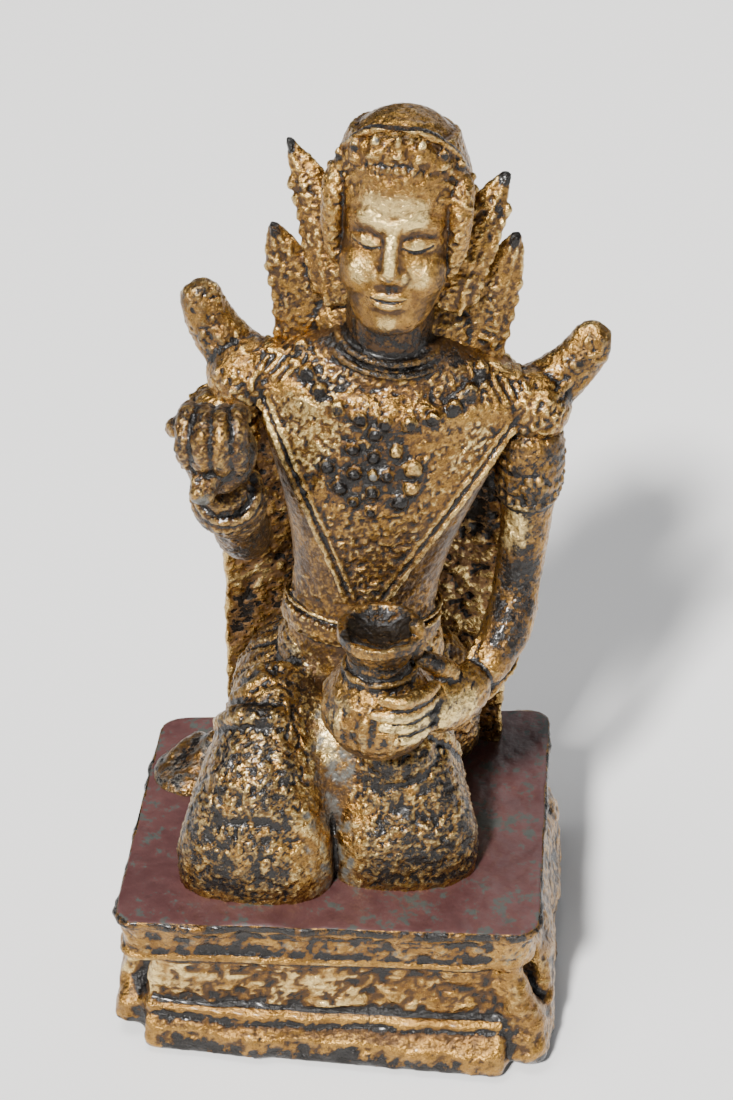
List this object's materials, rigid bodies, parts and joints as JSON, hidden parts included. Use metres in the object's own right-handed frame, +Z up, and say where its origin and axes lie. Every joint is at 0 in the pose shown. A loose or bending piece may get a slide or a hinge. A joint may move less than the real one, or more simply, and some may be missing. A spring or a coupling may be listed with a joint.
{
  "type": "kneeling attendant statue",
  "caption": "Gilded cast-metal figure of a crowned attendant kneeling on a stepped plinth, a squat water jar in front of the chest and one fist raised.",
  "frame": {"origin": "middle of the plinth's flat underside, on the surface it stands on", "axes": "+Z up, -Y towards the front of the figure, +X towards the side of the figure's left arm, which holds the jar"},
  "size_m": [0.107, 0.0878, 0.2158],
  "materials": {
    "gilded_cast_metal": "worn gilding over black and red lacquer"
  },
  "bodies": {
    "root": {"statue": "gilded_cast_metal"}
  },
  "joints": []
}
